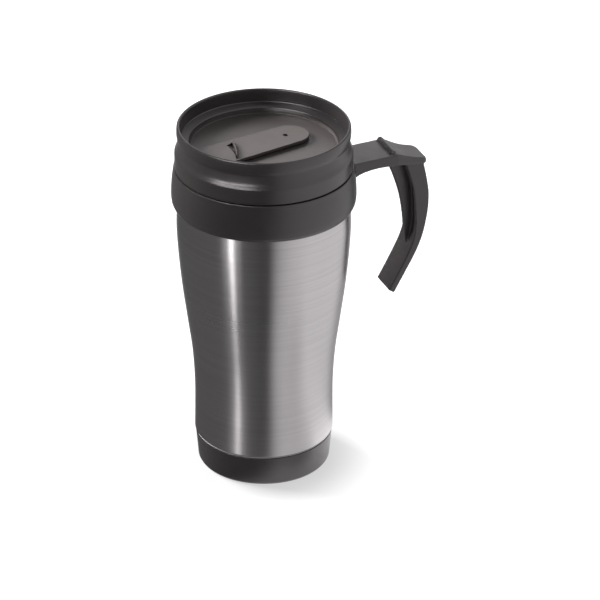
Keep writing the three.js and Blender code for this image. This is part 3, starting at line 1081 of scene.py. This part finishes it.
def soft_rubber(name, colours, roughness):
    """Dull rubber or silicone with a fine grain."""
    look = Look(name, Sheen_Weight=0.15, Sheen_Roughness=0.6)
    look.colour(look.noise(90, detail=4), *colours)
    look.roughness(look.noise(400, detail=3), roughness)
    look.bump((look.noise(2600, detail=2), 0.00002, 0.35))
    return look.material


def zinc_plate():
    """Plated screws, patchy in colour and shine."""
    look = Look("zinc_plate", Metallic=1.0)
    look.colour(look.noise(700, detail=3), (0.5, 0.5, 0.49), (0.66, 0.66, 0.63))
    look.roughness(look.noise(1200, detail=3), (0.26, 0.42))
    look.bump((look.noise(3000, detail=2), 0.00001, 0.3))
    return look.material


# Each colour is a pair: the darkest and the palest that the noise gives.
BLACK = ((0.0155, 0.0138, 0.0141), (0.0185, 0.0164, 0.0168))
LINER_BLACK = ((0.022, 0.021, 0.020), (0.028, 0.027, 0.026))
SLIDER_GREY = ((0.078, 0.069, 0.067), (0.087, 0.077, 0.0745))
RUBBER_BLACK = ((0.016, 0.016, 0.016), (0.026, 0.026, 0.025))
SILICONE_GREY = ((0.19, 0.19, 0.185), (0.24, 0.24, 0.235))
DULL_RADIUS = (RECESS_RADIUS + 0.3) * MM

MATERIALS = {
    "steel": brushed_steel(),
    "black_plastic": moulded_plastic("black_plastic", BLACK, roughness=(0.33, 0.41), grain=0.16),
    "lid_plastic": moulded_plastic(
        "lid_plastic", BLACK, roughness=(0.28, 0.33), grain=0.08, dull_radius=DULL_RADIUS
    ),
    "slider_plastic": moulded_plastic(
        "slider_plastic", SLIDER_GREY, roughness=(0.38, 0.46), grain=0.10, gloss=0.4
    ),
    "liner_plastic": moulded_plastic(
        "liner_plastic", LINER_BLACK, roughness=(0.32, 0.42), grain=0.12
    ),
    "pad_rubber": soft_rubber("pad_rubber", RUBBER_BLACK, roughness=(0.68, 0.80)),
    "silicone": soft_rubber("silicone", SILICONE_GREY, roughness=(0.44, 0.56)),
    "screw_steel": zinc_plate(),
}


# ---------------------------------------------------------------- pieces on their bodies

BUILDERS = {
    "outer_shell": outer_shell,
    "inner_liner": inner_liner,
    "collar_ring": collar_ring,
    "shell_top_seal": seal_ring,
    "shell_bottom_seal": seal_ring,
    "base_cap": base_cap,
    "base_pad": base_pad,
    "handle": handle,
    "handle_screw_1": handle_screw,
    "handle_screw_2": handle_screw,
    "lid_body": lid_body,
    "lid_gasket": lid_gasket,
    "slider": slider,
    "slider_seal": slider_seal,
    "slider_clip": slider_clip,
}

pieces = {}
for node, build in BUILDERS.items():
    piece = build(f"{node}_fine")
    pieces[node] = piece
    piece.data.materials.clear()
    piece.data.materials.append(MATERIALS[slot_of[node]])
    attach(piece, body_of[node])
    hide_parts(node)


# ---------------------------------------------------------------- camera

VIEW_TURN = math.radians(-22)  # how far the view is turned about the Z axis
VIEW_PITCH = math.radians(28.62)  # how far it looks down
VIEW_ROLL = 0.005  # radians
VIEW_DISTANCE = 1.7
AIM_RIGHT = 0.0168  # where the camera aims, from the mug's axis and its foot
AIM_HEIGHT = 0.08212
LENS = 219.33
SENSOR = 36.0

UP = Vector((0, 0, 1))
right = Vector((math.cos(VIEW_TURN), math.sin(VIEW_TURN), 0))
ahead = Vector((-math.sin(VIEW_TURN), math.cos(VIEW_TURN), 0))


def place_camera():
    """A long lens from far away, with the mug and its handle in the middle."""
    forward = ahead * math.cos(VIEW_PITCH) - UP * math.sin(VIEW_PITCH)
    above = right.cross(forward)
    side = right * math.cos(VIEW_ROLL) + above * math.sin(VIEW_ROLL)
    above = above * math.cos(VIEW_ROLL) - right * math.sin(VIEW_ROLL)
    turn = Matrix((side, above, -forward)).transposed().to_4x4()
    place = right * AIM_RIGHT + UP * AIM_HEIGHT - forward * VIEW_DISTANCE
    camera = bpy.data.objects.new("camera", bpy.data.cameras.new("camera"))
    camera.data.lens = LENS
    camera.data.sensor_width = SENSOR
    camera.matrix_world = Matrix.Translation(place) @ turn
    bpy.context.scene.collection.objects.link(camera)
    bpy.context.scene.camera = camera


place_camera()


# ---------------------------------------------------------------- floor and light

# Brightness of the studio round the mug, by angle from the view's direction in degrees.
# 0 is behind the camera, 90 is to the right, and 180 is behind the mug.
STUDIO_BANDS = [
    (-180, 1.15),
    (-172, 1.0),
    (-163, 0.3),
    (-154, 0.11),
    (-30, 0.11),
    (-12, 0.08),
    (0, 0.055),
    (8, 0.055),
    (14, 0.24),
    (20, 0.42),
    (26, 0.52),
    (36, 0.63),
    (46, 0.69),
    (64, 0.78),
    (128, 0.80),
    (141, 0.36),
    (160, 0.36),
    (170, 0.95),
    (180, 1.15),
]
STUDIO_PEAK = 1.2

# Distances on the floor are in metres. A span is where a change starts and ends, from the
# centre of a round patch.
FLOOR_SIZE = 3.0
FLOOR_DROP = 0.00005  # keeps the floor just clear of the mug's foot
# Painted shadow: the floor glows less near the mug's foot.
FOOT_SHADE = {"centre": right * -0.006, "span": (0.034, 0.066), "glow": (0.58, 0.98)}
MIRRORED = {"centre": right * 0.021, "span": (0.034, 0.050)}
# Painted shadow, seen only in gloss, in front of the mug on the right.
SHADOW = {"azimuth": 38, "distance": 0.100, "span": (0.010, 0.052), "depth": 0.85}
SHADOW_REACH = 1.25  # the shadow's edge, as a share of its span's end
# Painted reflection: the floor glows this much more where gloss mirrors it.
PAINTED_GLOW_IN_GLOSS = 0.75

LIGHTS_AIM_HEIGHT = 0.1
LEFT_STRIPS = ((0.12, 2.5), (0.55, 1.1))  # width and power of each


def level_direction(azimuth):
    """Level, by degrees from the camera's side: 90 is to its right."""
    turn = math.radians(azimuth)
    return right * math.sin(turn) - ahead * math.cos(turn)


def background(tree, colour, strength):
    """A world surface of one colour or of a socket's colours."""
    node = tree.node("Background")
    tree.feed(node.inputs, Color=colour, Strength=strength)
    return node.outputs["Background"]


def studio():
    """A studio of soft upright panels. The camera itself sees plain white."""
    world = bpy.data.worlds.new("studio")
    bpy.context.scene.world = world
    world.use_nodes = True
    tree = Tree(world.node_tree)
    tree.nodes.clear()
    direction = tree.node("TexCoord").outputs["Generated"]
    across = tree.maths("DOT_PRODUCT", direction, right, kind="VectorMath")
    nearer = tree.maths("DOT_PRODUCT", direction, -ahead, kind="VectorMath")
    angle = tree.maths("ARCTAN2", across, nearer)
    share = tree.maths("MULTIPLY_ADD", angle, 0.5 / math.pi, 0.5)
    bands = tree.node("ValToRGB")
    tree.feed(bands.inputs, Fac=share)
    stops = bands.color_ramp.elements
    stops.remove(stops[1])
    for i, (degrees, level) in enumerate(STUDIO_BANDS):
        position = degrees / 360 + 0.5
        stop = stops.new(position) if i else stops[0]
        stop.position = position
        stop.color = (*[level / STUDIO_PEAK] * 3, 1)
    panels = background(tree, bands.outputs["Color"], STUDIO_PEAK)
    plain = background(tree, (1, 1, 1, 1), 1.0)
    seen_by_camera = tree.node("LightPath").outputs["Is Camera Ray"]
    surface = tree.mix_shaders(seen_by_camera, panels, plain)
    tree.feed(tree.node("OutputWorld").inputs, Surface=surface)


def floor_material():
    """A pale surface that glows, with a painted shadow where it glows less at the mug's foot.
    Gloss mirrors it only close to the mug, and more on its right, so that the panels show.
    What gloss mirrors glows brighter than what the camera sees, a painted reflection, and has a
    painted shadow on it in front on the right, in place of the mug's broad soft shadow."""
    material = bpy.data.materials.new("pale_floor")
    material.use_nodes = True
    tree = Tree(material.node_tree)
    shader = tree.nodes["Principled BSDF"]
    tree.feed(shader.inputs, Base_Color=(0.2, 0.2, 0.2, 1), Emission_Color=(1, 1, 1, 1))
    tree.feed(shader.inputs, Roughness=1.0, Specular_IOR_Level=0.0)
    place = tree.node("TexCoord").outputs["Object"]
    in_gloss = tree.node("LightPath").outputs["Is Glossy Ray"]

    def by_distance(centre, span, levels):
        distance = tree.maths("DISTANCE", place, centre, kind="VectorMath")
        return tree.ramp(distance, span, levels, shape="SMOOTHSTEP")

    shadow_centre = level_direction(SHADOW["azimuth"]) * SHADOW["distance"]
    shadow_span = (SHADOW["span"][1], SHADOW_REACH * SHADOW["span"][1])
    # The floor's glow, with a painted shadow at the mug's foot.
    glow = by_distance(FOOT_SHADE["centre"], FOOT_SHADE["span"], FOOT_SHADE["glow"])
    past_mirrored = by_distance(MIRRORED["centre"], MIRRORED["span"], (0, 1))
    past_shadow = by_distance(shadow_centre, SHADOW["span"], (0, 1))
    # Painted shadow that only gloss sees; the camera sees the floor unshaded.
    shadow = by_distance(shadow_centre, shadow_span, (SHADOW["depth"], 0))
    # Painted reflection: gloss sees the floor glow brighter than the camera does.
    painted_gloss_boost = tree.maths("MULTIPLY_ADD", in_gloss, PAINTED_GLOW_IN_GLOSS, 1.0)
    out_of_painted_shadow = tree.maths("SUBTRACT", 1.0, tree.maths("MULTIPLY", shadow, in_gloss))
    strength = tree.maths("MULTIPLY", glow, tree.maths("MULTIPLY", painted_gloss_boost, out_of_painted_shadow))
    tree.feed(shader.inputs, Emission_Strength=strength)
    unseen = tree.maths("MULTIPLY", tree.maths("MINIMUM", past_mirrored, past_shadow), in_gloss)
    clear = tree.node("BsdfTransparent").outputs["BSDF"]
    surface = tree.mix_shaders(unseen, shader.outputs["BSDF"], clear)
    tree.feed(tree.nodes["Material Output"].inputs, Surface=surface)
    return material


def floor():
    """A square sheet under the mug."""
    mesh = bmesh.new()
    bmesh.ops.create_grid(mesh, x_segments=1, y_segments=1, size=FLOOR_SIZE)
    data = bpy.data.meshes.new("floor")
    mesh.to_mesh(data)
    mesh.free()
    data.materials.append(floor_material())
    obj = bpy.data.objects.new("floor", data)
    obj.location.z = -FLOOR_DROP
    bpy.context.scene.collection.objects.link(obj)


def area_light(name, azimuth, elevation, distance, width, height, power):
    """A soft box aimed at the mug."""
    tilt = math.radians(elevation)
    away = level_direction(azimuth) * math.cos(tilt) + UP * math.sin(tilt)
    lamp = bpy.data.lights.new(name, "AREA")
    lamp.shape = "RECTANGLE"
    lamp.size = width
    lamp.size_y = height
    lamp.energy = power
    obj = bpy.data.objects.new(name, lamp)
    obj.location = UP * LIGHTS_AIM_HEIGHT + away * distance
    obj.rotation_euler = away.to_track_quat("Z", "Y").to_euler()
    bpy.context.scene.collection.objects.link(obj)
    return obj


def shine_on(lamp, nodes):
    """Keeps a lamp's light to some of the pieces, as a flag on a stand would."""
    lit = bpy.data.collections.new(f"{lamp.name}_shines_on")
    for node in nodes:
        lit.objects.link(pieces[node])
    lamp.light_linking.receiver_collection = lit


studio()
floor()
key = area_light("key_box", -118, 22, distance=1.4, width=0.9, height=0.8, power=100)
key.visible_glossy = False
for width, power in LEFT_STRIPS:
    strip = area_light("left_strip", -41.5, 0, distance=1.3, width=width, height=2.0, power=power)
    shine_on(strip, ["outer_shell"])
low_box = area_light("low_box", -38, 15, distance=1.3, width=1.2, height=0.2, power=7)
high_box = area_light("high_box", -55, 54, distance=1.3, width=0.8, height=0.35, power=10)
shine_on(low_box, [node for node in pieces if body_of[node] != "root"])
shine_on(high_box, [node for node in pieces if node != "outer_shell"])
for highlight in (low_box, high_box):
    highlight.visible_diffuse = False

bpy.context.scene.view_settings.view_transform = "Standard"
